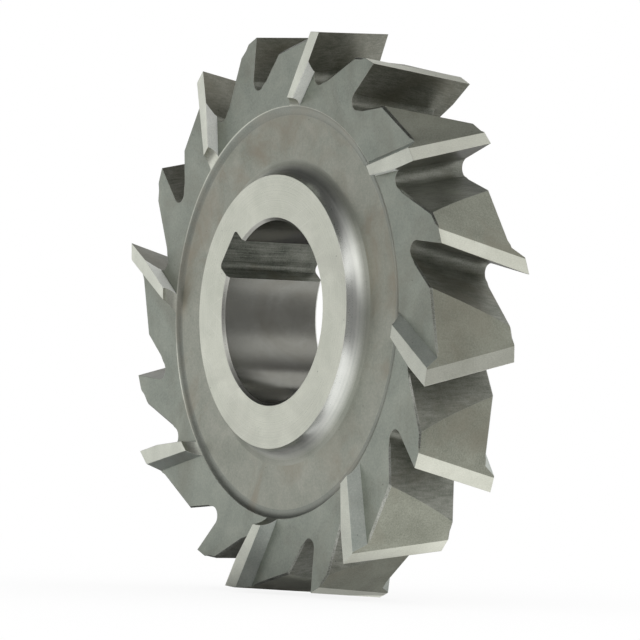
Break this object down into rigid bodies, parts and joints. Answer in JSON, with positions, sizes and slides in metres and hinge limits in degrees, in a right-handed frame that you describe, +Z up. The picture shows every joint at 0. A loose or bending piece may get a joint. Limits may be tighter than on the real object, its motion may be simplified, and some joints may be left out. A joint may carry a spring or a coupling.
{
  "type": "side and face cutter",
  "caption": "Side and face milling cutter with staggered teeth inclined both ways, side gashes, a recessed web and a keyed bore for a milling arbor.",
  "frame": {"origin": "on the bore's axis, at half the cutter's width", "axes": "+Y along the bore axis; +Z up, with the cutter standing on its teeth; seen from -Y, the teeth point clockwise"},
  "size_m": [0.099, 0.02, 0.099],
  "materials": {
    "tool_steel": "hardened high-speed steel: ground hub faces, lands and side lands, polished recess corners, matt milled backs, gullets and side gashes"
  },
  "bodies": {
    "root": {"cutter": "tool_steel"}
  },
  "joints": []
}
